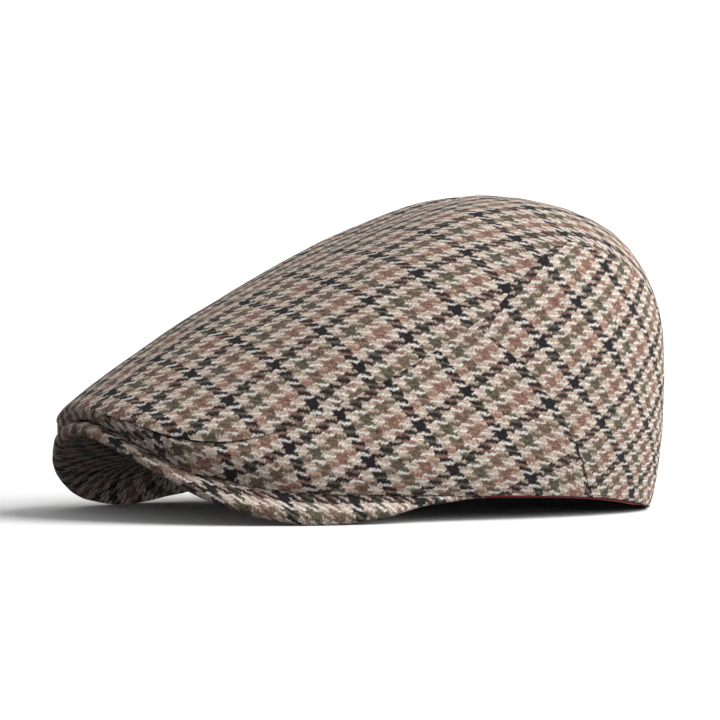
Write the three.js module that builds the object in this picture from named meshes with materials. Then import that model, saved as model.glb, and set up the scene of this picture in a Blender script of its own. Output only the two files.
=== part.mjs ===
// A sewn flat cap, in millimetres: +Z up, the peak towards -Y, the wearer's left towards +X.
// It stands on the two side edges of its peak and on its back hem, with the origin between them
// on the floor. The crown is one shell of cloth, cut by its seams into a top, two sides and a
// back, and the peak, the sweatband and the hem's piping are fitted to it.
import * as THREE from "three";

// ---- Driving sizes ----

const CROWN_HALF_WIDTH = 95.5; // at the widest line
const CROWN_FRONT_REACH = 134.4; // from CENTRE_Y to the front of the widest line
const CROWN_BACK_REACH = 118.1; // from CENTRE_Y to its back
const CENTRE_Y = 8.9; // brings the whole cap's box over the origin
const FRONT_NARROWING = 0.075; // how much narrower the front half is than the back half
const END_FULLNESS = 0.24; // how much squarer than an ellipse both ends are
const APEX_Y = 58.2;
const APEX_HEIGHT = 129;
const WIDEST_AT = 0.86; // where the widest line falls on the way from the apex, 0, to the hem, 1

const CLOTH = 1.8; // wall of the crown
const SEAM_GAP = 0.3; // between two pieces sewn together
const PEAK_GAP = 0.75; // between the crown's edge and the peak

const HEAD_HALF_WIDTH = 88.5; // the head opening's front half, where the peak's board ends
const HEAD_FRONT_REACH = 76;
const HEAD_CENTRE_Y = 2.7;
const HEM_FROM_DEG = 55; // from here the opening's edge passes over to the hem
const PEAK_END_DEG = 88; // half of the peak's spread, seen from above
const BOARD_BEND = 0.35; // where the board's arch turns, as a share of its width in from the crown

const BAND_THICKNESS = 1.2;
const BAND_CENTRE_Y = 22;
const BAND_HEIGHT = 28;
const BAND_LIFT = 1.2; // from the hem up to the band's lower edge
const PIPING_THICKNESS = 1.0;
const PIPING_DROP = 0.8; // how far the piping shows below the cloth
const PIPING_RISE = 2.5; // how far it runs up behind the cloth

// ---- Shape of the crown ----

// One row for each 30 degrees from the front, 0, round to the back, 180, alike on both sides.
// hem: height of the lower edge. widest: height of the widest line. round_out and round_up: the
// powers of the curve from the apex to the widest line, 1 for a straight slope and 2 for an arc.
// tuck: how far the lower edge lies inside the widest line. seam: where the top panel's seam
// crosses, on the way from the apex, 0, to the hem, 1; past 1 the top panel reaches the hem.
const CROWN_ROWS = [
  { hem: 50.2, widest: 50.8, round_out: 1.26, round_up: 1.11, tuck: 2.9, seam: 0.86 },
  { hem: 15.7, widest: 29.3, round_out: 1.55, round_up: 1.1, tuck: 2.5, seam: 0.844 },
  { hem: 11, widest: 18.5, round_out: 1.82, round_up: 1.38, tuck: 2.8, seam: 0.635 },
  { hem: 9.8, widest: 25.5, round_out: 2.1, round_up: 1.78, tuck: 3.7, seam: 0.555 },
  { hem: 7.8, widest: 38.4, round_out: 2.26, round_up: 2.5, tuck: 5, seam: 0.28 },
  { hem: -1.2, widest: 48, round_out: 2.18, round_up: 2.97, tuck: 6.4, seam: 0.77 },
  { hem: -0.2, widest: 66.5, round_out: 2.09, round_up: 3.6, tuck: 7.8, seam: 0.78 },
];

// Close to the front the top panel's seam drops to the hem: by how much, and over how many degrees.
const FRONT_DROP = 0.2;
const FRONT_DROP_DEG = 7;

// Where the seam between side and back crosses: degrees at the top seam, half way and at the hem.
const SIDE_SEAM = { top: 85, middle: 99.2, hem: 112.9 };

const SIDE_START_DEG = 5; // the front corner of a side panel

// ---- Shape of the peak ----

// One row for each 15 degrees from the front to past the peak's end. slope: how steeply the board
// falls outwards where it leaves the crown. flap: how far it runs out below the crown's edge.
// thick: board and both its cloths. rise: how much higher than the crown's edge its inner edge is.
const PEAK_ROWS = [
  { slope: 2, flap: 1.3, thick: 5.9, rise: 5 },
  { slope: 4, flap: 1.9, thick: 5.1, rise: 5.1 },
  { slope: 18.5, flap: 3.5, thick: 4.9, rise: 8.1 },
  { slope: 43, flap: 10.1, thick: 5, rise: 10.6 },
  { slope: 53.5, flap: 11.3, thick: 4.8, rise: 9.9 },
  { slope: 37, flap: 2, thick: 3, rise: 3.6 },
  { slope: 24, flap: 0.3, thick: 1.8, rise: 0.4 },
  { slope: 18, flap: 0.2, thick: 1.6, rise: 0.4 },
];

// ---- Fineness of the faceted surfaces ----

const STATION_DEG = 5; // neighbours share their corners along the top seam
const TOP_STEPS = { round: 360 / STATION_DEG, down: 10 };
const SIDE_STEPS = { along: (SIDE_SEAM.top - SIDE_START_DEG) / STATION_DEG, down: 8 };
const BACK_STEPS = { along: (360 - 2 * SIDE_SEAM.top) / STATION_DEG, down: 8 };
const PEAK_STEPS = { round: 56, inward: 5, nose: 4 };
const BAND_STEPS = { round: 72, up: 2 };
const PIPING_STEPS = { round: 52, up: 1 };

// ---- Curves ----

const radians = THREE.MathUtils.degToRad;
const fromFront = (phi) => Math.abs(Math.atan2(Math.sin(phi), Math.cos(phi)));
const range = (count) => [...Array(count + 1).keys()].map((step) => step / count);

// A uniform cubic B-spline through one column of a table that is mirrored at the front and, where
// it reaches so far, at the back.
function along(rows, column, spacingDeg, phi) {
  const last = rows.length - 1;
  const place = Math.min(THREE.MathUtils.radToDeg(fromFront(phi)) / spacingDeg, last);
  const row = Math.min(Math.floor(place), last - 1);
  const f = place - row;
  const value = (index) => rows[index > last ? 2 * last - index : Math.abs(index)][column];
  const before = (1 - f) ** 3 * value(row - 1);
  const here = (3 * f ** 3 - 6 * f ** 2 + 4) * value(row);
  const next = (-3 * f ** 3 + 3 * f ** 2 + 3 * f + 1) * value(row + 1);
  const after = f ** 3 * value(row + 2);
  return (before + here + next + after) / 6;
}

const crown = (column, phi) => along(CROWN_ROWS, column, 30, phi);
const peak = (column, phi) => along(PEAK_ROWS, column, 15, phi);

// The widest line's place in plan.
function widestLine(phi) {
  const forward = Math.cos(phi);
  const reach = forward > 0 ? CROWN_FRONT_REACH : CROWN_BACK_REACH;
  const shape = 1 - FRONT_NARROWING * forward + END_FULLNESS * forward ** 2;
  return new THREE.Vector2(CROWN_HALF_WIDTH * Math.sin(phi) * shape, CENTRE_Y - reach * forward);
}

// A point of the crown: phi round it from the front, way from the apex to the hem, depth in from
// the outer face.
function crownPoint(phi, way, depth = 0) {
  const spoke = widestLine(phi).sub(new THREE.Vector2(0, APEX_Y));
  const reach = spoke.length();
  const widest = crown("widest", phi);
  const turn = Math.min(way / WIDEST_AT, 1) * (Math.PI / 2);
  const under = Math.max((way - WIDEST_AT) / (1 - WIDEST_AT), 0);
  const out = Math.sin(turn) ** (2 / crown("round_out", phi)) * (reach - depth);
  const up = Math.max(Math.cos(turn), 0) ** (2 / crown("round_up", phi));
  const along = (out - crown("tuck", phi) * under ** 2) / reach;
  const dome = (APEX_HEIGHT - depth - widest) * up;
  const height = widest + dome + (crown("hem", phi) - widest) * under;
  return new THREE.Vector3(spoke.x * along, APEX_Y + spoke.y * along, Math.max(height, 0));
}

function topSeam(phi) {
  const drop = FRONT_DROP * Math.exp(-((fromFront(phi) / radians(FRONT_DROP_DEG)) ** 2));
  return Math.min(crown("seam", phi) + drop, 1);
}

function sideSeam(down) {
  const up = 1 - down;
  const middle = 2 * SIDE_SEAM.middle * up * down;
  return radians(SIDE_SEAM.top * up ** 2 + middle + SIDE_SEAM.hem * down ** 2);
}

// Half of a seam's gap, as a share of the way from apex to hem and as an angle round the crown.
function gapDown(phi, way) {
  const step = 0.01;
  const stretch = crownPoint(phi, way).distanceTo(crownPoint(phi, way - step));
  return (SEAM_GAP / 2 / stretch) * step;
}

const gapRound = SEAM_GAP / 2 / CROWN_HALF_WIDTH;

// ---- The peak's board, in section at phi ----

// How far the head opening has passed from the board's inner edge, 0, to the crown's own hem, 1.
function ontoHem(phi) {
  return THREE.MathUtils.smoothstep(fromFront(phi), radians(HEM_FROM_DEG), radians(PEAK_END_DEG));
}

// The head opening in plan: half an ellipse in front, and the inside of the hem behind.
function headOpening(phi) {
  const x = HEAD_HALF_WIDTH * Math.sin(phi);
  const y = HEAD_CENTRE_Y - HEAD_FRONT_REACH * Math.cos(phi);
  return new THREE.Vector3(x, y, 0).lerp(crownPoint(phi, 1, CLOTH).setZ(0), ontoHem(phi));
}

// The board leaves the crown's edge just under it, runs out to a rounded nose, and inwards rises
// to the head opening. fall points outwards along it and face squarely up from it.
function boardSection(phi) {
  const edge = crownPoint(phi, 1);
  const step = 0.01;
  const tangent = crownPoint(phi + step, 1).sub(crownPoint(phi - step, 1)).setZ(0).normalize();
  const outwards = new THREE.Vector3(tangent.y, -tangent.x, 0);
  const slope = radians(peak("slope", phi));
  const fall = outwards.clone().multiplyScalar(Math.cos(slope)).setZ(-Math.sin(slope));
  const face = outwards.clone().multiplyScalar(Math.sin(slope)).setZ(Math.cos(slope));
  const thick = peak("thick", phi);
  const root = edge.clone().addScaledVector(face, -PEAK_GAP - thick / 2);
  const nose = root.clone().addScaledVector(fall, peak("flap", phi));
  const inner = headOpening(phi);
  const straight = Math.hypot(inner.x - root.x, inner.y - root.y) * Math.tan(slope);
  const rise = THREE.MathUtils.lerp(peak("rise", phi), straight, Math.sqrt(ontoHem(phi)));
  inner.z = root.z + rise;
  return { edge, fall, face, thick, root, nose, inner };
}

// The closed line round the board's section: upper face from the head opening out, nose, lower
// face back in. The inner end is cut upright, and nothing goes below the floor.
function boardOutline(phi) {
  const { fall, face, thick, root, nose, inner } = boardSection(phi);
  const bend = root.clone().addScaledVector(fall, -root.distanceTo(inner) * BOARD_BEND);
  const arch = new THREE.QuadraticBezierCurve3(inner, bend, root);
  const middle = [...arch.getPoints(PEAK_STEPS.inward), nose];
  const side = face.clone().cross(fall);
  const squareTo = (index) => {
    if (index === 0) return new THREE.Vector3(0, 0, 1);
    if (index === middle.length - 1) return face;
    return middle[index + 1].clone().sub(middle[index - 1]).cross(side).normalize();
  };
  const offset = (share) => (point, index) => point.clone().addScaledVector(squareTo(index), share * thick);
  const upper = middle.map(offset(0.5));
  const lower = middle.map(offset(-0.5)).reverse();
  const round = range(PEAK_STEPS.nose).slice(1, -1).map((share) => {
    const turn = Math.PI * share;
    const point = nose.clone().addScaledVector(face, (Math.cos(turn) * thick) / 2);
    return point.addScaledVector(fall, (Math.sin(turn) * thick) / 2);
  });
  return [...upper, ...round, ...lower].map((point) => point.setZ(Math.max(point.z, 0)));
}

// The crown's inner face stops where it meets the board, so that its lower edge lies along it.
function innerEnd(phi) {
  if (fromFront(phi) > radians(PEAK_END_DEG)) return 1;
  const { edge, face } = boardSection(phi);
  const above = (way) => crownPoint(phi, way, CLOTH).sub(edge).dot(face) >= 0;
  let clear = WIDEST_AT;
  let reached = 1;
  for (let halving = 0; halving < 20; halving += 1) {
    const middle = (clear + reached) / 2;
    if (above(middle)) clear = middle;
    else reached = middle;
  }
  return clear;
}

// ---- Closed bodies from grids of points ----

function solid(quads) {
  const corners = [];
  const triangle = (a, b, c) => {
    if (a !== b && b !== c && a !== c) corners.push(...a, ...b, ...c);
  };
  for (const [a, b, c, d] of quads) {
    triangle(a, b, c);
    triangle(a, c, d);
  }
  const geometry = new THREE.BufferGeometry();
  geometry.setAttribute("position", new THREE.Float32BufferAttribute(corners, 3));
  geometry.computeVertexNormals();
  return geometry;
}

// Quads between neighbouring lines of points, turned to face the other way if flipped.
function sheet(lines, flipped = false) {
  const quads = [];
  for (let i = 0; i + 1 < lines.length; i += 1)
    for (let j = 0; j + 1 < lines[i].length; j += 1) {
      const quad = [lines[i][j], lines[i][j + 1], lines[i + 1][j + 1], lines[i + 1][j]];
      quads.push(flipped ? quad.reverse() : quad);
    }
  return quads;
}

// A wall of cloth between an outer and an inner grid. A ring's last line is its first.
function wall(outer, inner, ring = false) {
  const first = (lines) => lines.map((line) => line[0]);
  const last = (lines) => lines.map((line) => line.at(-1));
  const quads = [...sheet(outer), ...sheet(inner, true)];
  quads.push(...sheet([last(outer), last(inner)], true));
  quads.push(...sheet([first(outer), first(inner)]));
  if (!ring) {
    quads.push(...sheet([outer[0], inner[0]], true));
    quads.push(...sheet([outer.at(-1), inner.at(-1)]));
  }
  return solid(quads);
}

// A grid of the crown from two functions of its two shares: one gives phi, one gives the way.
function crownGrid(steps, phiAt, wayAt, depth) {
  return range(steps.along).map((share) =>
    range(steps.down).map((down) => {
      const phi = phiAt(share, down);
      return crownPoint(phi, wayAt(phi, down, depth > 0), depth);
    }),
  );
}

// ---- Pieces ----

const cloth = (color) => new THREE.MeshStandardMaterial({ color, roughness: 0.95, metalness: 0 });

function piece(name, geometry, material) {
  const mesh = new THREE.Mesh(geometry, material);
  mesh.name = name;
  return mesh;
}

// The tongue of cloth over the top, from the apex out to its seam, or to the hem in front.
function topPanel() {
  const end = (phi, inside) => {
    const seam = topSeam(phi);
    const whole = inside ? innerEnd(phi) : 1;
    return seam < 1 ? Math.min(seam - gapDown(phi, seam), whole) : whole;
  };
  const grid = (depth) => {
    const apex = crownPoint(0, 0, depth);
    const lines = range(TOP_STEPS.round).slice(0, -1).map((share) => {
      const phi = 2 * Math.PI * share;
      const ways = range(TOP_STEPS.down).slice(1).map((down) => down * end(phi, depth > 0));
      return [apex, ...ways.map((way) => crownPoint(phi, way, depth))];
    });
    return [...lines, lines[0]];
  };
  return wall(grid(0), grid(CLOTH), true);
}

// From a way along the seam down to the hem. Inside it stops on the board.
function belowSeam(phi, down, inside) {
  const seam = topSeam(phi);
  const start = seam + gapDown(phi, seam);
  const end = inside ? innerEnd(phi) : 1;
  return start + (end - start) * down;
}

function sidePanel() {
  const start = radians(SIDE_START_DEG);
  const phiAt = (share, down) => start + (sideSeam(down) - gapRound - start) * share;
  const grid = (depth) => crownGrid(SIDE_STEPS, phiAt, belowSeam, depth);
  return wall(grid(0), grid(CLOTH));
}

function backPanel() {
  const phiAt = (share, down) => {
    const start = sideSeam(down) + gapRound;
    return start + 2 * (Math.PI - start) * share;
  };
  const grid = (depth) => crownGrid(BACK_STEPS, phiAt, belowSeam, depth);
  return wall(grid(0), grid(CLOTH));
}

function peakBoard() {
  const end = radians(PEAK_END_DEG);
  const outlines = range(PEAK_STEPS.round).map((share) => boardOutline(end * (2 * share - 1)));
  const closed = outlines.map((outline) => [...outline, outline[0]]);
  // An end is closed by quads across it, from its upper to its lower half.
  const across = (outline) => {
    const half = Math.ceil(outline.length / 2);
    return [outline.slice(0, half), outline.slice(-half).reverse()];
  };
  const quads = sheet(closed);
  quads.push(...sheet(across(outlines[0]), true));
  quads.push(...sheet(across(outlines.at(-1))));
  return solid(quads);
}

// The lower edge of what lines the head opening, set in by a distance.
function headLine(phi, inset) {
  const place = headOpening(phi);
  const { inner, thick } = boardSection(phi);
  const hem = crownPoint(phi, 1).z;
  const inwards = new THREE.Vector3(-place.x, BAND_CENTRE_Y - place.y, 0).normalize();
  const height = THREE.MathUtils.lerp(inner.z - thick / 2, hem, ontoHem(phi));
  return place.addScaledVector(inwards, inset).setZ(height);
}

function upright(steps, phis, inset, thickness, low, high) {
  const grid = (depth) =>
    phis.map((phi) =>
      range(steps.up).map((share) => {
        const place = headLine(phi, depth);
        const top = place.z + high;
        const bottom = Math.max(place.z + low, SEAM_GAP);
        return place.setZ(top + (bottom - top) * share);
      }),
    );
  return [grid(inset), grid(inset + thickness)];
}

function sweatband() {
  const inset = PIPING_THICKNESS + 2 * SEAM_GAP;
  const phis = range(BAND_STEPS.round).slice(0, -1).map((share) => 2 * Math.PI * share);
  const high = BAND_LIFT + BAND_HEIGHT;
  const walls = upright(BAND_STEPS, phis, inset, BAND_THICKNESS, BAND_LIFT, high);
  const [outer, inner] = walls.map((lines) => [...lines, lines[0]]);
  return wall(outer, inner, true);
}

function hemPiping() {
  const start = radians(PEAK_END_DEG + 2);
  const phis = range(PIPING_STEPS.round).map((share) => start + 2 * (Math.PI - start) * share);
  const walls = upright(PIPING_STEPS, phis, SEAM_GAP, PIPING_THICKNESS, -PIPING_DROP, PIPING_RISE);
  return wall(...walls);
}

const group = new THREE.Group();
const side = sidePanel();
const right = piece("side_panel_right", side.clone(), cloth(0x9a8871));
right.scale.x = -1;
group.add(
  piece("top_panel", topPanel(), cloth(0xa08e76)),
  piece("side_panel_left", side, cloth(0x9a8871)),
  right,
  piece("back_panel", backPanel(), cloth(0x948269)),
  piece("peak", peakBoard(), cloth(0x8d7b65)),
  piece("sweatband", sweatband(), cloth(0x1c1c20)),
  piece("hem_piping", hemPiping(), cloth(0xb03a3c)),
);

export default group;
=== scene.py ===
import math

import bpy
import numpy as np
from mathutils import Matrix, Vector


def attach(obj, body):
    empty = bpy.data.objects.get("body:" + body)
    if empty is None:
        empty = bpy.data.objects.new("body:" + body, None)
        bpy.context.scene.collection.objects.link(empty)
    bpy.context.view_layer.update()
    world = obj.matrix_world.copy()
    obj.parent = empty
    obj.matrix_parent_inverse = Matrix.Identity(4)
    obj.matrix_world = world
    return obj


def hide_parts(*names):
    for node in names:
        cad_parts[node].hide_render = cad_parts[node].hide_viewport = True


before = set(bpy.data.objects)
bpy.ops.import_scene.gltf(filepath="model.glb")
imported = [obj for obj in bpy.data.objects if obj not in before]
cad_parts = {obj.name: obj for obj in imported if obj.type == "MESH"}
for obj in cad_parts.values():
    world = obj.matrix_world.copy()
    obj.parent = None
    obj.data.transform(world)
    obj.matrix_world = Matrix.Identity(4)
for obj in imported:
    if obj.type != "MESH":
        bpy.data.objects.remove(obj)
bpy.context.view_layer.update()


# ---- Top panel ----
# The tongue of cloth over the top of the cap, cut in one piece from wool tweed in a gun-club check.
# It is steamed over a round block, and its edge is turned in where it is sewn to the panels below.

MM = 0.001
CLOTH = 1.8 * MM
HALF_WIDTH = 95.5 * MM
FRONT_REACH = 134.4 * MM
BACK_REACH = 118.1 * MM
CENTRE_Y = 8.9 * MM
FRONT_NARROWING = 0.075
END_FULLNESS = 0.24
APEX_Y = 58.2 * MM
APEX_HEIGHT = 129 * MM
WIDEST_AT = 0.86

# The crown's sections every 30 degrees from the front to the back. Heights and the tuck under the
# widest line are in millimetres, and the seam is a share of the way from the apex to the hem.
CROWN = {
    "hem": (50.2, 15.7, 11, 9.8, 7.8, -1.2, -0.2),
    "widest": (50.8, 29.3, 18.5, 25.5, 38.4, 48, 66.5),
    "round_out": (1.26, 1.55, 1.82, 2.1, 2.26, 2.18, 2.09),
    "round_up": (1.11, 1.1, 1.38, 1.78, 2.5, 2.97, 3.6),
    "tuck": (2.9, 2.5, 2.8, 3.7, 5, 6.4, 7.8),
    "seam": (0.86, 0.844, 0.635, 0.555, 0.28, 0.77, 0.78),
}
CROWN_SPACING_DEG = 30

# Close to the front the top panel's seam drops to the hem: by how much, and over how many degrees.
FRONT_DROP = 0.2
FRONT_DROP_DEG = 7


def from_front(degrees):
    return np.abs((np.asarray(degrees, float) + 180) % 360 - 180)


def spline(column, spacing, degrees):
    """A column of values every so many degrees, joined by a smooth curve."""
    column = np.asarray(column, float)
    last = len(column) - 1
    place = np.clip(from_front(degrees) / spacing, 0, last)
    row = np.minimum(np.floor(place).astype(int), last - 1)
    share = place - row

    def value(index):
        index = np.abs(index)
        return column[np.where(index > last, 2 * last - index, index)]

    return (
        (1 - share) ** 3 * value(row - 1)
        + (3 * share**3 - 6 * share**2 + 4) * value(row)
        + (-3 * share**3 + 3 * share**2 + 3 * share + 1) * value(row + 1)
        + share**3 * value(row + 2)
    ) / 6


def crown(column, degrees):
    return spline(CROWN[column], CROWN_SPACING_DEG, degrees)


def crown_point(degrees, way, depth=0.0):
    """A point of the crown, from its angle from the front and its way down from the apex to the hem."""
    degrees, way = np.broadcast_arrays(np.asarray(degrees, float), np.asarray(way, float))
    angle = np.radians(degrees)
    forward = np.cos(angle)
    reach = np.where(forward > 0, FRONT_REACH, BACK_REACH)
    x = HALF_WIDTH * np.sin(angle) * (1 - FRONT_NARROWING * forward + END_FULLNESS * forward**2)
    y = CENTRE_Y - reach * forward - APEX_Y
    spoke = np.hypot(x, y)
    widest = crown("widest", degrees) * MM
    turn = np.minimum(way / WIDEST_AT, 1) * math.pi / 2
    under = np.maximum((way - WIDEST_AT) / (1 - WIDEST_AT), 0)
    out = np.sin(turn) ** (2 / crown("round_out", degrees)) * (spoke - depth)
    up = np.maximum(np.cos(turn), 0) ** (2 / crown("round_up", degrees))
    along = (out - crown("tuck", degrees) * MM * under**2) / spoke
    z = widest + (APEX_HEIGHT - depth - widest) * up + (crown("hem", degrees) * MM - widest) * under
    return np.stack([x * along, APEX_Y + y * along, np.maximum(z, 0)], -1)


def top_seam(degrees):
    drop = FRONT_DROP * np.exp(-((from_front(degrees) / FRONT_DROP_DEG) ** 2))
    return np.minimum(crown("seam", degrees) + drop, 1)


def numbered(lines, rows, ring=False, pole=False, first=0):
    """The points' numbers in a grid. A ring's last line is its first, and a pole is one point."""
    number = first + np.arange(lines * rows).reshape(lines, rows)
    if pole:
        number[:, 0] = number[0, 0]
    return np.concatenate([number, number[:1]]) if ring else number


def quads_between(number):
    near, far = number[:-1], number[1:]
    return np.stack([near[:, :-1], near[:, 1:], far[:, 1:], far[:, :-1]], -1).reshape(-1, 4)


def new_mesh(name, points, quads):
    """A mesh of the points that the quads use. A quad that holds one point twice is a triangle."""
    used, quads = np.unique(quads, return_inverse=True)
    faces = [list(dict.fromkeys(quad)) for quad in quads.reshape(-1, 4).tolist()]
    mesh = bpy.data.meshes.new(name)
    mesh.from_pydata(np.asarray(points)[used].tolist(), [], faces)
    mesh.polygons.foreach_set("use_smooth", np.ones(len(faces), bool))
    mesh.update()
    corners = np.zeros(len(mesh.loops), int)
    mesh.loops.foreach_get("vertex_index", corners)
    return mesh, used[corners]


def new_piece(name, mesh):
    piece = bpy.data.objects.new(name, mesh)
    bpy.context.collection.objects.link(piece)
    return piece


def flat_pattern(points, start, end, ring=False):
    """Where the points of a panel lie once it is laid flat, in metres, as complex numbers.

    The grid place start is at 0, and end lies straight above it."""
    number = numbered(*points.shape[:2], ring, ring)
    mesh, corners = new_mesh("pattern", points.reshape(-1, 3), quads_between(number))
    panel = new_piece("pattern", mesh)
    bpy.ops.object.select_all(action="DESELECT")
    bpy.context.view_layer.objects.active = panel
    panel.select_set(True)
    layer = mesh.uv_layers.new(name="flat").name
    bpy.ops.object.mode_set(mode="EDIT")
    bpy.ops.mesh.select_all(action="SELECT")
    bpy.ops.uv.unwrap(method="MINIMUM_STRETCH", margin=0.0, correct_aspect=False)
    bpy.ops.object.mode_set(mode="OBJECT")
    places = np.zeros(len(mesh.loops) * 2)
    mesh.uv_layers[layer].data.foreach_get("uv", places)
    flat = np.zeros(points.shape[0] * points.shape[1], complex)
    flat[corners] = places[0::2] + 1j * places[1::2]
    flat = flat[number[: len(points)]]
    bpy.data.objects.remove(panel)
    bpy.data.meshes.remove(mesh)
    real = sum(np.linalg.norm(np.diff(points, axis=way), axis=2).sum() for way in (0, 1))
    laid = sum(np.abs(np.diff(flat, axis=way)).sum() for way in (0, 1))
    flat = (flat - flat[start]) * real / laid
    return flat * 1j * abs(flat[end]) / flat[end]


def read_along(table, places, ring=False):
    """Lines of a table read between its own by smooth curves, at places counted in lines."""
    count = len(table)
    base = np.floor(places).astype(int)
    if ring:
        before, low, high, after = [table[(base + step) % count] for step in (-1, 0, 1, 2)]
    else:
        base = np.clip(base, 0, count - 2)
        longer = np.concatenate([[2 * table[0] - table[1]], table, [2 * table[-1] - table[-2]]])
        before, low, high, after = [longer[base + step] for step in (0, 1, 2, 3)]
    share = (places - base)[:, None]
    bend = 2 * before - 5 * low + 4 * high - after + share * (3 * (low - high) + after - before)
    return low + share / 2 * (high - before + share * bend)


# How much finer a panel's grid is at its sewn edges, and how soon that fades.
PACKING = 0.94
PACKING_FADE = 12


def packed(count, edges):
    """Shares from 0 to 1, ever closer together towards the edges that are 1 and not 0."""
    share = (np.arange(count - 1) + 0.5) / (count - 1)
    first = PACKING * np.exp(-PACKING_FADE * share) * edges[0]
    last = PACKING * np.exp(-PACKING_FADE * (1 - share)) * edges[1]
    step = 1 - first - last
    place = np.concatenate([[0], np.cumsum(step)])
    return place / place[-1]


def outwards(points, ring=False):
    """Directions square to a grid of points, away from the head."""
    longer = np.concatenate([points[-1:], points, points[:1]]) if ring else points
    along = np.gradient(longer, axis=0)[1:-1] if ring else np.gradient(points, axis=0)
    square = np.cross(np.gradient(points, axis=1), along)
    length = np.linalg.norm(square, axis=-1, keepdims=True)
    return np.where(length > 1e-12, square / np.maximum(length, 1e-12), (0, 0, 1))


RIPPLE_WAVES = 14
RIPPLE_SPREAD = (0.65, 1.35)


def ripple(points, size, seed):
    """Soft random waves over the surface, about as high and as long as the size says."""
    high, long = size
    chance = np.random.default_rng(seed)
    pace = chance.normal(size=(RIPPLE_WAVES, 3))
    pace *= 2 * math.pi / long / np.linalg.norm(pace, axis=1, keepdims=True)
    pace *= chance.uniform(*RIPPLE_SPREAD, (RIPPLE_WAVES, 1))
    start = chance.uniform(0, 2 * math.pi, RIPPLE_WAVES)
    return high * (np.sin(points @ pace.T + start).sum(-1) / math.sqrt(RIPPLE_WAVES))


# A sewn edge is turned over, stands in a low ridge beside the seam, and puckers between stitches.
EDGE_TURN = 0.42 * MM
SEAM_RIDGE = 0.12 * MM
RIDGE_AWAY = 3.2 * MM
RIDGE_WIDTH = 2.4 * MM
PUCKER = 0.12 * MM
PUCKER_SPACING = 6.5 * MM
PUCKER_REACH = 6 * MM
PUCKER_DRIFT = 0.25
PUCKER_CHANGE = 12
PUCKER_SIZES = (0.2, 1)
SEAM_STEP = 0.8 * MM


def sewn_edges(flat, borders, seed):
    """How deep the cloth lies below its smooth shape near its sewn edges, laid flat."""
    chance = np.random.default_rng(seed)
    depth = np.zeros(flat.shape)
    for border in borders:
        run = np.concatenate([[0], np.cumsum(np.abs(np.diff(border)))])
        fine = np.linspace(0, run[-1], int(run[-1] / SEAM_STEP) + 2)
        line = np.interp(fine, run, border.real) + 1j * np.interp(fine, run, border.imag)
        distance = np.abs(flat.reshape(-1, 1) - line)
        nearest = distance.argmin(1).reshape(flat.shape)
        away = distance.min(1).reshape(flat.shape)
        turn = np.clip(1 - away / EDGE_TURN, 0, 1)
        rolled = EDGE_TURN * (1 - np.sqrt(1 - turn**2))
        ridge = SEAM_RIDGE * np.exp(-(((away - RIDGE_AWAY) / RIDGE_WIDTH) ** 2))
        drift = np.cumsum(chance.normal(0, PUCKER_DRIFT, len(fine)))
        changes = fine[::PUCKER_CHANGE]
        size = np.interp(fine, changes, chance.uniform(*PUCKER_SIZES, len(changes)))
        wave = size * np.sin(2 * math.pi * fine / PUCKER_SPACING + drift)
        fade = np.exp(-away / PUCKER_REACH) * np.clip(away / MM, 0, 1)
        depth += rolled - ridge + PUCKER * wave[nearest] * fade
    return depth


# In front the top panel is puffed up over the side panels' wedge, and they are drawn in under it.
FOLD = 0.9 * MM
FOLD_DEG = (8, 22, 38, 62)
PUFF_AWAY = 5 * MM
PUFF_WIDTH = 4 * MM
DRAWN_IN_WIDTH = 3 * MM


def fold_size(degrees):
    start, full, fading, end = FOLD_DEG
    place = from_front(degrees)
    rising = np.clip((place - start) / (full - start), 0, 1)
    falling = np.clip((end - place) / (end - fading), 0, 1)
    return FOLD * rising * falling


def lay_threads(mesh, threads):
    """The threads map, from the yarns counted at each corner of the mesh."""
    layer = mesh.uv_layers.new(name="threads")
    layer.data.foreach_set("uv", np.stack([threads.real, threads.imag], -1).reshape(-1))


def cloth_panel(name, face, inner, threads, materials, ring):
    """A panel of cloth, from the grids of its two faces. The inner face has the second material."""
    lines, rows = face.shape[:2]
    front = numbered(lines, rows, ring, ring)
    behind = numbered(lines, rows, ring, ring, lines * rows)
    rims = [np.stack([behind[:, -1], front[:, -1]])]
    if not ring:
        rims += [np.stack([front[:, 0], behind[:, 0]])]
        rims += [np.stack([behind[0], front[0]]), np.stack([front[-1], behind[-1]])]
    shown = [quads_between(front)] + [quads_between(rim.T)[:, ::-1] for rim in rims]
    hidden = quads_between(behind)[:, ::-1]
    points = np.concatenate([face.reshape(-1, 3), inner.reshape(-1, 3)])
    mesh, corners = new_mesh(name, points, np.concatenate([*shown, hidden]))
    lay_threads(mesh, np.tile(threads.reshape(-1), 2)[corners])
    for material in materials:
        mesh.materials.append(material)
    lining = np.arange(len(mesh.polygons)) >= len(mesh.polygons) - len(hidden)
    mesh.polygons.foreach_set("material_index", lining.astype(int))
    return new_piece(name, mesh)


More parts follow.
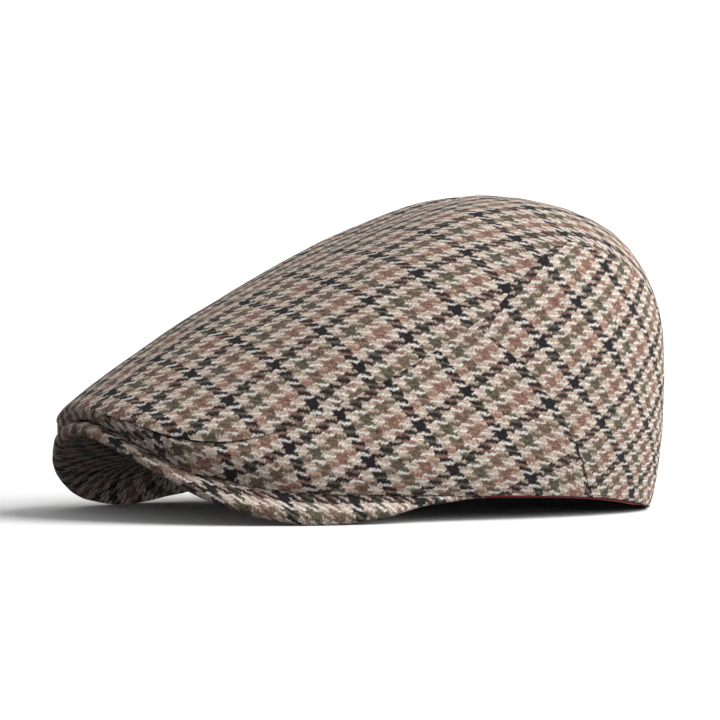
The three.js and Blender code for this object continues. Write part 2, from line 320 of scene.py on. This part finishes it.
class Shade:
    """One output of a material's nodes. Sums on it add Math nodes, and node() adds any other node.

    The first Shade of a material has no output yet, and starts its nodes."""

    def __init__(self, tree, socket=None):
        self.tree = tree
        self.socket = socket

    def node(self, kind, settings=None, values=None, output=0):
        made = self.tree.nodes.new("ShaderNode" + kind)
        for name, setting in (settings or {}).items():
            if name == "stops":
                ramp = made.color_ramp
                ramp.interpolation = "CONSTANT"
                for place, colour in setting:
                    stop = ramp.elements[0] if place == 0 else ramp.elements.new(place)
                    stop.color = colour
                ramp.elements.remove(ramp.elements[-1])
            else:
                setattr(made, name, setting)
        for name, value in (values or {}).items():
            if isinstance(value, Shade):
                self.tree.links.new(value.socket, made.inputs[name])
            else:
                made.inputs[name].default_value = value
        return Shade(self.tree, made.outputs[output] if made.outputs else None)

    def math(self, operation, *others):
        return self.node("Math", {"operation": operation}, dict(enumerate((self, *others))))

    def __add__(self, other):
        return self.math("ADD", other)

    def __sub__(self, other):
        return self.math("SUBTRACT", other)

    def __mul__(self, other):
        return self.math("MULTIPLY", other)

    def __truediv__(self, other):
        return self.math("DIVIDE", other)

    def __pow__(self, other):
        return self.math("POWER", other)

    def __mod__(self, other):
        return self.math("FLOORED_MODULO", other)

    def __lt__(self, other):
        return self.math("LESS_THAN", other)

    def __rsub__(self, other):
        return self * -1 + other

    __radd__ = __add__
    __rmul__ = __mul__


def new_finish(name):
    material = bpy.data.materials.new(name)
    material.use_nodes = True
    material.node_tree.nodes.clear()
    return material, Shade(material.node_tree)


def dye(red, green, blue):
    """A colour as a screen shows it, 0 to 255, as the shader wants it."""
    return (*[((part / 255 + 0.055) / 1.055) ** 2.4 for part in (red, green, blue)], 1)


# Each yarn as its dark and its light fibres. The check has six bands of four yarns each way, and its
# cream is whiter in the weft than in the warp.
BLACK = (dye(13, 11, 14), dye(46, 41, 48))
OLIVE = (dye(57, 53, 44), dye(134, 126, 108))
BROWN = (dye(97, 67, 58), dye(186, 148, 132))
SAND = (dye(138, 111, 93), dye(232, 212, 194))
CHALK = (dye(152, 136, 124), dye(252, 246, 238))
WARP_YARNS = (BLACK, SAND, OLIVE, SAND, BROWN, SAND)
WEFT_YARNS = (BLACK, CHALK, OLIVE, CHALK, BROWN, CHALK)
BAND_YARNS = 4
REPEAT = BAND_YARNS * len(WARP_YARNS)


def yarn_colours(yarn, in_weft):
    """The dark and the light fibres of a yarn, found by its number in the warp or in the weft."""
    place = (yarn % REPEAT + 0.5) / (2 * REPEAT) + in_weft * 0.5
    bands = WARP_YARNS + WEFT_YARNS
    colours = []
    for part in (0, 1):
        stops = [(band / len(bands), pair[part]) for band, pair in enumerate(bands)]
        colours.append(yarn.node("ValToRGB", {"stops": stops}, {0: place}))
    return colours


# The twill comes round again after four yarns.
TWILL_YARNS = 4

# How far the yarns stray from straight, in yarns, at three finenesses of noise
STRAYING = ((110.0, 0.9), (600.0, 1.7), (3200.0, 1.9))
YARN_RELIEF = 0.4 * MM


def tweed(name):
    """Woollen yarns in a 2/2 twill. The threads map counts warp yarns across and weft yarns up.

    Each yarn passes over two and under two, one further along for each row."""
    material, start = new_finish(name)
    place = start.node("TexCoord", output="Object")
    threads = start.node("UVMap", {"uv_map": "threads"})
    for scale, far in STRAYING:
        noise = start.node("TexNoise", {}, {"Vector": place, "Scale": scale, "Detail": 1.0}, "Color")
        centred = start.node("VectorMath", {"operation": "SUBTRACT"}, {0: noise, 1: (0.5, 0.5, 0.5)})
        shift = start.node("VectorMath", {"operation": "SCALE"}, {0: centred, "Scale": far})
        threads = start.node("VectorMath", {"operation": "ADD"}, {0: threads, 1: shift})
    warp = start.node("SeparateXYZ", {}, {0: threads}, "X")
    weft = start.node("SeparateXYZ", {}, {0: threads}, "Y")
    warp_yarn = warp.math("FLOOR")
    weft_yarn = weft.math("FLOOR")
    across_warp = warp - warp_yarn
    across_weft = weft - weft_yarn
    step = (warp_yarn - weft_yarn + 1) % TWILL_YARNS
    weft_shows = step < 1.5
    warp_shows = 1 - weft_shows
    along = (weft_shows * (step + across_warp) + warp_shows * (3 - step + across_weft)) / 2
    across = weft_shows * across_weft + warp_shows * across_warp
    yarn = weft_shows * weft_yarn + warp_shows * warp_yarn
    hidden = weft_shows * warp_yarn + warp_shows * weft_yarn
    lengthwise = weft_shows * warp + warp_shows * weft
    round_top = (1 - (across * 2 - 1) ** 2).math("MAXIMUM", 0.0) ** 0.6
    arch = (1 - (along * 2 - 1).math("ABSOLUTE") ** 3).math("MAXIMUM", 0.0)
    diagonal = warp - weft + 0.5
    wale = (diagonal * math.pi).math("COSINE") * 0.5 + 0.5
    rib = (diagonal * (math.pi / 2)).math("COSINE") * 0.5 + 0.5
    pale_yarn = 1 - ((yarn % (2 * BAND_YARNS)) < BAND_YARNS)
    height = (round_top * arch * 0.5 + wale * 0.2 + rib * 0.3) * (pale_yarn * 0.4 + 0.7)
    brushed = start.node("CombineXYZ", {}, {"X": (warp + weft) * 0.32, "Y": (warp - weft) * 1.3})
    nap = start.node("TexNoise", {}, {"Vector": brushed, "Scale": 1.0, "Detail": 3.0, "Roughness": 0.6})
    fibres = start.node("CombineXYZ", {}, {"X": lengthwise * 1.1 + across, "Y": across * 4, "Z": yarn * 3.7})
    fibre = start.node("TexNoise", {}, {"Vector": fibres, "Scale": 1.0, "Detail": 3.0, "Roughness": 0.65})
    own = start.node("TexWhiteNoise", {"noise_dimensions": "2D"}, {
        "Vector": start.node("CombineXYZ", {}, {"X": yarn, "Y": weft_shows})
    })
    speck = start.node("TexNoise", {}, {"Vector": place, "Scale": 1500.0, "Detail": 2.0, "Roughness": 0.6})
    # The share of pale fibres comes from noise and each yarn's own tone, and also from the yarn's height: the
    # yarns' raised crowns are painted paler and their hollows darker, a painted highlight and painted shade
    # over the weave.
    light = nap * 2.0 + fibre * 1.7 + speck * 2.0 + own * 0.25 + height * 0.7 - 2.8
    light = light.math("MAXIMUM", 0.0).math("MINIMUM", 1.0)
    dark, pale = yarn_colours(yarn, weft_shows)
    beneath = yarn_colours(hidden, warp_shows)[1]
    wool = start.node("Mix", {"data_type": "RGBA"}, {0: light, 6: dark, 7: pale}, 2)
    # Where a yarn dips low the wool is multiplied by the pale colour of the yarn beneath: that yarn's own
    # colour showing through, darkened as painted shade in the gaps between yarns.
    wool_with_painted_gap_shade = start.node("Mix", {"data_type": "RGBA", "blend_type": "MULTIPLY"}, {
        0: (1 - height).math("MAXIMUM", 0.0) * 0.5, 6: wool, 7: beneath
    }, 2)
    bump = start.node("Bump", {}, {"Strength": 1.0, "Distance": YARN_RELIEF, "Height": height + nap * 0.8})
    shader = start.node("BsdfPrincipled", {}, {
        "Base Color": wool_with_painted_gap_shade, "Roughness": 0.95 - height * 0.05, "Normal": bump,
        "Specular IOR Level": 0.2, "Sheen Weight": 0.06, "Sheen Roughness": 0.4,
    })
    start.node("OutputMaterial", {}, {"Surface": shader})
    return material


def lining_cloth():
    """Plain black lining, a fine satin with faint ribs."""
    material, start = new_finish("black lining")
    place = start.node("TexCoord", output="Object")
    ribs = start.node("TexWave", {"bands_direction": "DIAGONAL"}, {
        "Vector": place, "Scale": 900.0, "Distortion": 1.0,
    })
    cloudy = start.node("TexNoise", {}, {"Vector": place, "Scale": 60.0, "Detail": 3.0})
    colour = start.node("Mix", {"data_type": "RGBA"}, {0: cloudy, 6: dye(18, 18, 20), 7: dye(34, 33, 36)}, 2)
    bump = start.node("Bump", {}, {"Strength": 0.5, "Distance": 0.05 * MM, "Height": ribs})
    shader = start.node("BsdfPrincipled", {}, {
        "Base Color": colour, "Roughness": 0.5 + cloudy * 0.1, "Normal": bump, "Sheen Weight": 0.1,
    })
    start.node("OutputMaterial", {}, {"Surface": shader})
    return material


tweed_finish = tweed("tweed")
lining_finish = lining_cloth()


def check_on(flat, middle, reach, warp, weft):
    """Repeats of the check at places on the cloth laid flat, in warp and in weft.

    Each starts from its count at the middle, and goes on by metres across and up and by their squares,
    which bend the check where the cloth was drawn to shape. Past the reach it bends no further."""
    across, up = flat.real - middle[0], flat.imag - middle[1]
    near = np.clip(across, -reach[0], reach[0])
    high = np.clip(up, -reach[1], reach[1])
    return [
        start + a * across + b * up + aa * near**2 + ab * near * high + bb * high**2
        for start, a, b, aa, ab, bb in (warp, weft)
    ]


# The check's crossings are counted from the middle of its black bands.
MID_BAND = (1 + 1j) * BAND_YARNS / 2

# Steam leaves the cloth not quite smooth: how high and how long the soft waves are.
LONG_WAVES = (0.28 * MM, 34 * MM)
SHORT_WAVES = (0.1 * MM, 13 * MM)
SHORT_WAVES_SEED = 50
ABOVE_TABLE = 0.05 * MM


def crown_panel(
    name, replaced, degrees_at, way_at, *,
    count, coarse, edges, grain, corners, seed, ring=False, mirrored=False,
):
    """A panel of the crown between its seams, with its check laid by the flat pattern.

    The flat pattern is worked out on a coarse grid and read on the fine one, which is packed at the
    edges that are sewn. A mirrored panel is made on the left and turned over to the right."""
    def laid(lines, rows):
        share, down = np.meshgrid(lines, rows, indexing="ij")
        degrees = degrees_at(share, down)
        return degrees, way_at(degrees, down)

    lines = np.arange(coarse[0]) / (coarse[0] if ring else coarse[0] - 1)
    degrees, way = laid(lines, np.linspace(0, 1, coarse[1]))
    pattern = flat_pattern(crown_point(degrees, way), *corners, ring)
    lines = np.arange(count[0]) / count[0] if ring else packed(count[0], edges[0])
    rows = packed(count[1], edges[1])
    degrees, way = laid(lines, rows)
    smooth = crown_point(degrees, way)
    inner = crown_point(degrees, way, CLOTH)
    if mirrored:
        smooth, inner = smooth * (-1, 1, 1), inner * (-1, 1, 1)
    flat = read_along(pattern, lines * (coarse[0] if ring else coarse[0] - 1), ring)
    flat = read_along(flat.T, rows * (coarse[1] - 1)).T
    borders = [np.append(flat[:, -1], flat[0, -1])] if ring else [flat[:, -1], flat[:, 0], flat[0], flat[-1]]
    away = outwards(smooth, ring)
    if mirrored:
        away = -away
    depth = sewn_edges(flat, borders, seed)
    soft = ripple(smooth, LONG_WAVES, seed) + ripple(smooth, SHORT_WAVES, seed + SHORT_WAVES_SEED)
    run = np.linalg.norm(np.diff(smooth, axis=1, prepend=smooth[:, :1]), axis=-1).cumsum(1)
    if ring:
        soft += fold_size(degrees) * np.exp(-(((run[:, -1:] - run - PUFF_AWAY) / PUFF_WIDTH) ** 2))
    else:
        soft -= fold_size(degrees) * np.exp(-((run / DRAWN_IN_WIDTH) ** 2))
    face = smooth - away * (depth - soft)[..., None]
    face[..., 2] = np.maximum(face[..., 2], ABOVE_TABLE)
    warp, weft = check_on(flat, **grain)
    threads = (weft + 1j * warp if mirrored else warp + 1j * weft) * REPEAT + MID_BAND
    if mirrored:
        face, inner, threads = face[::-1], inner[::-1], threads[::-1]
    panel = cloth_panel(name, face, inner, threads, (tweed_finish, lining_finish), ring)
    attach(panel, "root")
    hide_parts(replaced)
    return panel


# How far the panels' edges are kept apart at a seam, as a share of the way from apex to hem
SEAM_INSET = 0.00005


def top_way(degrees, down):
    seam = top_seam(degrees)
    return np.where(seam < 1, seam - SEAM_INSET, 1) * down


crown_panel(
    "tweed_top", "top_panel", lambda share, down: 360 * share - 180, top_way,
    count=(384, 84), coarse=(72, 21), edges=((0, 0), (0, 1)),
    grain={
        "middle": (-0.048, 0.191), "reach": (0.042, 0.099),
        "warp": (3.59, 2.86, -42, 84.6, -56.1, -2.7), "weft": (0.56, -42.85, 0.76, -30.7, 16.8, -11.3),
    }, corners=((0, 20), (36, 20)), ring=True, seed=3,
)


# ---- Side panels ----
# The two panels over the ears, cut on the bias from the same tweed. Each starts as a narrow wedge
# beside the front and is seamed to the top panel above, to the back panel, and turned in at the hem.

SIDE_START_DEG = 5
SEAM_INSET_DEG = 0.005
SIDE_SEED = 11
SIDE_SEAM = {"top": 85, "middle": 99.2, "hem": 112.9}


def side_seam(down):
    up = 1 - down
    return SIDE_SEAM["top"] * up**2 + 2 * SIDE_SEAM["middle"] * up * down + SIDE_SEAM["hem"] * down**2


def below_seam(degrees, down):
    start = top_seam(degrees) + SEAM_INSET
    return start + (1 - start) * down


def side_degrees(share, down):
    return SIDE_START_DEG + (side_seam(down) - SEAM_INSET_DEG - SIDE_START_DEG) * share


for side, mirrored in (("left", False), ("right", True)):
    crown_panel(
        "tweed_side_" + side, "side_panel_" + side, side_degrees, below_seam,
        count=(130, 60), coarse=(41, 15), edges=((1, 1), (1, 1)),
        grain={
            "middle": (-0.072, 0.063), "reach": (0.053, 0.046),
            "warp": (2.12, 40.77, -2.77, 2.6, -38.1, -130), "weft": (1.52, -7.05, -45.24, 6.6, -0.6, -26.2),
        }, corners=((40, 14), (40, 0)), mirrored=mirrored, seed=SIDE_SEED,
    )


# ---- Back panel ----
# The wide panel round the back of the head, from one side seam to the other, cut in one piece from
# the same tweed and seamed to the top panel above.


def back_degrees(share, down):
    start = side_seam(down) + SEAM_INSET_DEG
    return start + 2 * (180 - start) * share


crown_panel(
    "tweed_back", "back_panel", back_degrees, below_seam,
    count=(230, 64), coarse=(61, 21), edges=((1, 1), (1, 1)),
    grain={
        "middle": (-0.125, 0.061), "reach": (0.038, 0.046),
        "warp": (0.66, 34.78, 22.09, 21, 17.6, -170.2), "weft": (1.99, 29.04, -40.26, 65.4, -35, -2.9),
    }, corners=((30, 20), (30, 0)), seed=23,
)


# ---- Peak ----
# A stiff board covered above and below with one piece of the tweed, which is folded over its outer
# edge. It lies close under the front of the crown, and its ends are sewn in at the hem.

PEAK_END_DEG = 88
HEM_FROM_DEG = 55
PEAK_GAP = 0.75 * MM
BOARD_BEND = 0.35
HEAD_HALF_WIDTH = 88.5 * MM
HEAD_FRONT_REACH = 76 * MM
HEAD_CENTRE_Y = 2.7 * MM

# The board every 15 degrees from the front: how steeply it falls in degrees, and in millimetres how
# far it runs out from the crown's edge, its thickness and how much higher its inner edge lies.
PEAK = {
    "slope": (2, 4, 18.5, 43, 53.5, 37, 24, 18),
    "flap": (1.3, 1.9, 3.5, 10.1, 11.3, 2, 0.3, 0.2),
    "thick": (5.9, 5.1, 4.9, 5, 4.8, 3, 1.8, 1.6),
    "rise": (5, 5.1, 8.1, 10.6, 9.9, 3.6, 0.4, 0.4),
}
PEAK_SPACING_DEG = 15

# Towards its ends the board goes in behind the hem: between which degrees, how far in and how far up.
PEAK_TUCK_DEG = (70, 84)
PEAK_TUCK = (2.4 * MM, 1.9 * MM)

# The cover's grid: lines round the head, and rows over the board, its outer part and its edge.
COVER_LINES = 281
BOARD_ROWS = 36
FLAP_ROWS = 11
EDGE_ROWS = 14


def peak(column, degrees):
    return spline(PEAK[column], PEAK_SPACING_DEG, degrees)


def onto_hem(degrees):
    """How far the head opening has passed from the board's inner edge, 0, to the crown's hem, 1."""
    share = np.clip((from_front(degrees) - HEM_FROM_DEG) / (PEAK_END_DEG - HEM_FROM_DEG), 0, 1)
    return share**2 * (3 - 2 * share)


def head_opening(degrees):
    angle = np.radians(degrees)
    x = HEAD_HALF_WIDTH * np.sin(angle)
    y = HEAD_CENTRE_Y - HEAD_FRONT_REACH * np.cos(angle)
    front = np.stack([x, y, 0 * x], -1)
    hem = crown_point(degrees, 1, CLOTH) * (1, 1, 0)
    return front + (hem - front) * onto_hem(degrees)[..., None]


def board(degrees):
    """The board's sections: which way it falls, which way it faces, its root, nose and inner end."""
    edge = crown_point(degrees, 1)
    run = (crown_point(degrees + 0.5, 1) - crown_point(degrees - 0.5, 1)) * (1, 1, 0)
    run /= np.linalg.norm(run, axis=-1, keepdims=True)
    out = np.stack([run[..., 1], -run[..., 0], 0 * degrees], -1)
    slope = np.radians(peak("slope", degrees))[..., None]
    up = np.array([0, 0, 1.0])
    fall = out * np.cos(slope) - up * np.sin(slope)
    square = out * np.sin(slope) + up * np.cos(slope)
    thick = peak("thick", degrees)[..., None] * MM
    start, full = PEAK_TUCK_DEG
    tucked = np.clip((from_front(degrees) - start) / (full - start), 0, 1)[..., None]
    root = edge - square * (PEAK_GAP + thick / 2) + (up * PEAK_TUCK[1] - out * PEAK_TUCK[0]) * tucked
    nose = root + fall * peak("flap", degrees)[..., None] * MM
    inner = head_opening(degrees)
    reach = np.linalg.norm((inner - root)[..., :2], axis=-1, keepdims=True)
    blend = np.sqrt(onto_hem(degrees))[..., None]
    rise = peak("rise", degrees)[..., None] * MM * (1 - blend) + reach * np.tan(slope) * blend
    inner = inner * (1, 1, 0) + (root[..., 2:] + rise) * up
    return fall, square, thick, root, nose, inner


def peak_cover():
    """The cover's sections round the board, and where each point lies once the cloth is laid flat."""
    degrees = np.linspace(-PEAK_END_DEG, PEAK_END_DEG, COVER_LINES)
    fall, square, thick, root, nose, inner = board(degrees)
    bend = root - fall * np.linalg.norm(root - inner, axis=-1, keepdims=True) * BOARD_BEND
    share = np.linspace(0, 1, BOARD_ROWS)[:, None, None]
    arch = inner * (1 - share) ** 2 + bend * 2 * share * (1 - share) + root * share**2
    run = np.linspace(0, 1, FLAP_ROWS)[1:, None, None]
    middle = np.concatenate([arch, root + (nose - root) * run]).transpose(1, 0, 2)
    side = np.cross(square, fall)[:, None]
    lift = np.cross(np.gradient(middle, axis=1), side)
    lift /= np.linalg.norm(lift, axis=-1, keepdims=True)
    lift[:, 0] = (0, 0, 1)
    lift[:, -1] = square
    half = thick[:, None] / 2
    turn = np.linspace(0, math.pi, EDGE_ROWS)[1:-1, None]
    tip = nose[:, None] + half * (square[:, None] * np.cos(turn) + fall[:, None] * np.sin(turn))
    section = np.concatenate([middle + lift * half, tip, (middle - lift * half)[:, ::-1]], 1)
    section[..., 2] = np.maximum(section[..., 2], 0)
    rows = section.shape[1]
    steps = np.linalg.norm(np.diff(section, axis=1), axis=-1)
    run = np.concatenate([np.zeros((len(degrees), 1)), np.cumsum(steps, 1)], 1)
    from_nose = run[:, rows // 2, None] - run
    edge = (nose + fall * thick / 2)[:, :2]
    inwards = -(fall * (1, 1, 0))[:, :2]
    inwards /= np.linalg.norm(inwards, axis=-1, keepdims=True)
    laid = edge[:, None] + inwards[:, None] * from_nose[..., None]
    return section, laid[..., 0] + 1j * laid[..., 1]


PEAK_GRAIN = {
    "middle": (0.0792, -0.0487), "reach": (0.05, 0.05),
    "warp": (0, 3.09, 39.36, 0, 0, 0), "weft": (0, 38.12, -13.89, 0, 0, 0),
}

# The board keeps its cover smoother than the crown, and smoothest where it stands on the table.
PEAK_LONG_WAVES = (0.2 * MM, 30 * MM)
PEAK_SHORT_WAVES = (0.08 * MM, 12 * MM)
SMOOTH_BELOW = 2 * MM

section, laid = peak_cover()
soft = ripple(section, PEAK_LONG_WAVES, 7) + ripple(section, PEAK_SHORT_WAVES, 8)
away = outwards(section)
section = section + away * (soft * np.clip(section[..., 2] / SMOOTH_BELOW, 0, 1))[..., None]
warp, weft = check_on(laid, **PEAK_GRAIN)
lines, rows = section.shape[:2]
number = numbered(lines, rows)
around = np.concatenate([number, number[:, :1]], 1)
half = rows // 2
caps = [
    np.stack([number[end, :half], number[end, ::-1][:half]], 1)[:, ::step] for end, step in ((0, 1), (-1, -1))
]
quads = np.concatenate([quads_between(around)] + [quads_between(cap) for cap in caps])
mesh, corners = new_mesh("tweed_peak", section.reshape(-1, 3), quads)
lay_threads(mesh, ((warp + 1j * weft).reshape(-1) * REPEAT + MID_BAND)[corners])
mesh.materials.append(tweed_finish)
cover = new_piece("tweed_peak", mesh)
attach(cover, "root")
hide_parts("peak")


# ---- Sweatband ----
# A flat band of black cotton round the inside of the head opening, sewn in at its lower edge, its
# upper edge free against the lining.

BAND_CENTRE_Y = 22 * MM
BAND_THICKNESS = 1.2 * MM
BAND_HEIGHT = 28 * MM
BAND_LIFT = 1.2 * MM
BAND_GAP = 0.6 * MM
BAND_WANDER = 0.3 * MM
PIPING_THICKNESS = 1 * MM
STRIP_ABOVE_TABLE = 0.3 * MM
BEND_STEPS = 8

# The free upper edge of a strip wanders in and out: how often round the head, and how unevenly.
WANDERS = 23
WANDER_UNEVEN = 7


def head_line(degrees, inset):
    """The line that a strip's section hangs on round the head opening, set in by a distance."""
    place = head_opening(degrees)
    *_, thick, _, _, inner = board(degrees)
    inwards = np.array([0, BAND_CENTRE_Y, 0]) - place
    inwards /= np.linalg.norm(inwards, axis=-1, keepdims=True)
    low = inner[..., 2] - thick[..., 0] / 2
    hem = crown_point(degrees, 1)[..., 2]
    place = place + inwards * inset
    place[..., 2] = low + (hem - low) * onto_hem(degrees)
    return place


def strip_outline(thick, low, high, steps):
    """The closed line round a strip's section: how far in from its outer side, and how high."""
    bend = thick / 2
    height = np.linspace(low + bend, high - bend, steps)
    turn = np.linspace(0, math.pi, BEND_STEPS)[1:-1]
    over = np.stack([bend - bend * np.cos(turn), high - bend + bend * np.sin(turn)], -1)
    under = np.stack([bend + bend * np.cos(turn), low + bend - bend * np.sin(turn)], -1)
    outer = np.stack([0 * height, height], -1)
    inner = np.stack([0 * height + thick, height[::-1]], -1)
    return np.concatenate([outer, over, inner, under])


def upright_strip(name, replaced, degrees, outline, inset, ring, far, material, lift=0.0):
    """A strip set on edge round the head opening. Its run map counts millimetres along and up."""
    uneven = 2 * np.sin(np.radians(degrees) * WANDER_UNEVEN)
    wander = far * np.sin(np.radians(degrees) * WANDERS + uneven)
    places = np.stack([head_line(degrees, inset + deep) for deep in outline[:, 0]], 1)
    line = np.cumsum(np.linalg.norm(np.diff(places[:, 0], axis=0, prepend=places[:1, 0]), axis=-1))
    share = (outline[:, 1] - outline[:, 1].min()) / np.ptp(outline[:, 1])
    inwards = places[:, -1] - places[:, 0]
    inwards /= np.maximum(np.linalg.norm(inwards, axis=-1, keepdims=True), 1e-9)
    places += inwards[:, None] * (wander[:, None] * share**2)[..., None]
    height = places[..., 2] + outline[:, 1] + np.reshape(lift, (-1, 1))
    places[..., 2] = np.maximum(height, STRIP_ABOVE_TABLE)
    lines, rows = places.shape[:2]
    number = numbered(lines, rows, ring)
    quads = quads_between(np.concatenate([number, number[:, :1]], 1))
    if not ring:
        half = rows // 2
        for end, step in ((0, -1), (-1, 1)):
            cap = np.stack([number[end, :half], number[end, ::-1][:half]])[::step]
            quads = np.concatenate([quads, quads_between(cap)])
    mesh, corners = new_mesh(name, places.reshape(-1, 3), quads[:, ::-1])
    run = np.stack([np.repeat(line, rows), np.tile(outline[:, 1], lines)], -1) / MM
    mesh.uv_layers.new(name="run").data.foreach_set("uv", run[corners].reshape(-1))
    mesh.materials.append(material)
    strip = new_piece(name, mesh)
    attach(strip, "root")
    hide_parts(replaced)
    return strip


# In millimetres, as the run map counts
RIDGE_SPACING = 0.8
PICK_SPACING = 0.5


def waves_along(run, spacing):
    return (run * (2 * math.pi / spacing)).math("SINE") * 0.5 + 0.5


def band_cotton():
    """Black cotton ribbon with upright ribs."""
    material, start = new_finish("black cotton")
    run_map = start.node("UVMap", {"uv_map": "run"})
    ridges = waves_along(start.node("SeparateXYZ", {}, {0: run_map}, "X"), RIDGE_SPACING)
    picks = waves_along(start.node("SeparateXYZ", {}, {0: run_map}, "Y"), PICK_SPACING)
    place = start.node("TexCoord", output="Object")
    lint = start.node("TexNoise", {}, {"Vector": place, "Scale": 700.0, "Detail": 3.0})
    # The lint's paler fibres show only along the ribs' crests and the hollows between ribs stay at the
    # darkest black: the lint's own tone on the crests, and painted shade in the hollows.
    colour = start.node("Mix", {"data_type": "RGBA"}, {
        0: lint * ridges, 6: dye(15, 15, 17), 7: dye(52, 50, 52),
    }, 2)
    bump = start.node("Bump", {}, {
        "Strength": 0.8, "Distance": 0.15 * MM, "Height": ridges + picks * 0.3 + lint * 0.3,
    })
    shader = start.node("BsdfPrincipled", {}, {
        "Base Color": colour, "Roughness": 0.85 - ridges * 0.1, "Normal": bump, "Sheen Weight": 0.15,
    })
    start.node("OutputMaterial", {}, {"Surface": shader})
    return material


upright_strip(
    "cotton_band", "sweatband", np.arange(0, 360, 1.0),
    strip_outline(BAND_THICKNESS, BAND_LIFT, BAND_LIFT + BAND_HEIGHT, 14),
    PIPING_THICKNESS + BAND_GAP, True, BAND_WANDER, band_cotton(),
)


# ---- Hem piping ----
# A narrow red tape, folded and sewn in between the hem and the sweatband, so that a thin red edge
# shows under the tweed at the sides and the back.

PIPING_DROP = 0.8 * MM
PIPING_RISE = 2.5 * MM
PIPING_INSET = 0.3 * MM
PIPING_LIFT = 2 * MM
PIPING_LIFT_DEG = (132, 147)
CROSS_RIB_SPACING = 0.7


def red_tape():
    """Red cotton tape, woven with fine cross ribs."""
    material, start = new_finish("red tape")
    run_map = start.node("UVMap", {"uv_map": "run"})
    ribs = waves_along(start.node("SeparateXYZ", {}, {0: run_map}, "X"), CROSS_RIB_SPACING)
    place = start.node("TexCoord", output="Object")
    lint = start.node("TexNoise", {}, {"Vector": place, "Scale": 800.0, "Detail": 3.0})
    # Besides the lint's own tone, the cross ribs' crests are painted paler red and their hollows darker, a
    # painted highlight and painted shade over the ribs.
    colour = start.node("Mix", {"data_type": "RGBA"}, {
        0: lint * 0.6 + ribs * 0.4, 6: dye(120, 20, 26), 7: dye(196, 52, 50),
    }, 2)
    bump = start.node("Bump", {}, {"Strength": 0.8, "Distance": 0.12 * MM, "Height": ribs + lint * 0.4})
    shader = start.node("BsdfPrincipled", {}, {
        "Base Color": colour, "Roughness": 0.8 - ribs * 0.1, "Normal": bump, "Sheen Weight": 0.15,
    })
    start.node("OutputMaterial", {}, {"Surface": shader})
    return material


# It starts just inside the peak's end and runs higher behind the hem towards the back.
degrees = np.arange(PEAK_END_DEG - 0.5, 361 - PEAK_END_DEG, 1.0)
start_deg, full_deg = PIPING_LIFT_DEG
upright_strip(
    "red_piping", "hem_piping", degrees, strip_outline(PIPING_THICKNESS, -PIPING_DROP, PIPING_RISE, 6),
    PIPING_INSET, False, 0.0, red_tape(),
    lift=PIPING_LIFT * np.clip((from_front(degrees) - start_deg) / (full_deg - start_deg), 0, 1),
)


# ---- Table, light and camera ----
# A plain white table top in a white surround that is brighter near the horizon, with one broad soft
# light from the right.

TABLE_HALF = 6.0

table_corners = [(x * TABLE_HALF, y * TABLE_HALF, 0) for x, y in ((-1, -1), (1, -1), (1, 1), (-1, 1))]
table_mesh, _ = new_mesh("table", table_corners, np.array([[0, 1, 2, 3]]))
white, start = new_finish("white table")
mottle = start.node("TexNoise", {}, {"Vector": start.node("TexCoord", output="Object"), "Scale": 3.0})
start.node("OutputMaterial", {}, {"Surface": start.node("BsdfPrincipled", {}, {
    "Base Color": (0.95, 0.95, 0.95, 1), "Roughness": mottle * 0.1 + 0.8, "Specular IOR Level": 0.0,
})})
table_mesh.materials.append(white)
table = new_piece("table", table_mesh)
table.visible_diffuse = False

CAMERA_TURN = math.radians(60)
CAMERA_RISE = math.radians(0.8)
CAMERA_AWAY = 1.4
CAMERA_AIM = Vector((0.84, 0.98, 61.15)) * MM
LENS = 171.36
SENSOR = 36

right = Vector((math.cos(CAMERA_TURN), math.sin(CAMERA_TURN), 0))
towards = Vector((math.sin(CAMERA_TURN), -math.cos(CAMERA_TURN), 0))

world = bpy.data.worlds.new("surround")
bpy.context.scene.world = world
world.use_nodes = True
world.node_tree.nodes.clear()
start = Shade(world.node_tree)
sky = start.node("TexCoord", output="Generated")
height = start.node("SeparateXYZ", {}, {0: sky}, "Z")
lean = right * 0.5 - towards * 0.2
sideways = start.node("VectorMath", {"operation": "DOT_PRODUCT"}, {0: sky, 1: lean}, "Value") + 1
above = start.node("MapRange", {"interpolation_type": "SMOOTHSTEP"}, {
    "Value": height, "From Min": 0.3, "From Max": 0.6, "To Min": 1.1, "To Max": 0.35,
})
below = start.node("MapRange", {}, {
    "Value": height, "From Min": -0.12, "From Max": -0.06, "To Min": 0.03, "To Max": 1.0,
})
glow = start.node("Background", {}, {"Color": (1, 1, 1, 1), "Strength": above * below * sideways})
start.node("OutputWorld", {}, {"Surface": glow})

LAMP_STRENGTH = 4.2
LAMP_SPREAD = math.radians(60)

lamp = bpy.data.lights.new("soft light", "SUN")
lamp.energy = LAMP_STRENGTH
lamp.angle = LAMP_SPREAD
shine = right * 0.86 + towards * 0.18 + Vector((0, 0, 0.6))
lit = bpy.data.objects.new("soft light", lamp)
lit.rotation_euler = (-shine).to_track_quat("-Z", "Y").to_euler()
bpy.context.collection.objects.link(lit)

lens = bpy.data.cameras.new("camera")
lens.lens = LENS
lens.sensor_width = SENSOR
camera = bpy.data.objects.new("camera", lens)
back = Vector((
    math.sin(CAMERA_TURN) * math.cos(CAMERA_RISE),
    -math.cos(CAMERA_TURN) * math.cos(CAMERA_RISE),
    math.sin(CAMERA_RISE),
))
camera.location = CAMERA_AIM + back * CAMERA_AWAY
camera.rotation_euler = (-back).to_track_quat("-Z", "Y").to_euler()
bpy.context.collection.objects.link(camera)
bpy.context.scene.camera = camera
bpy.context.scene.view_settings.view_transform = "Standard"
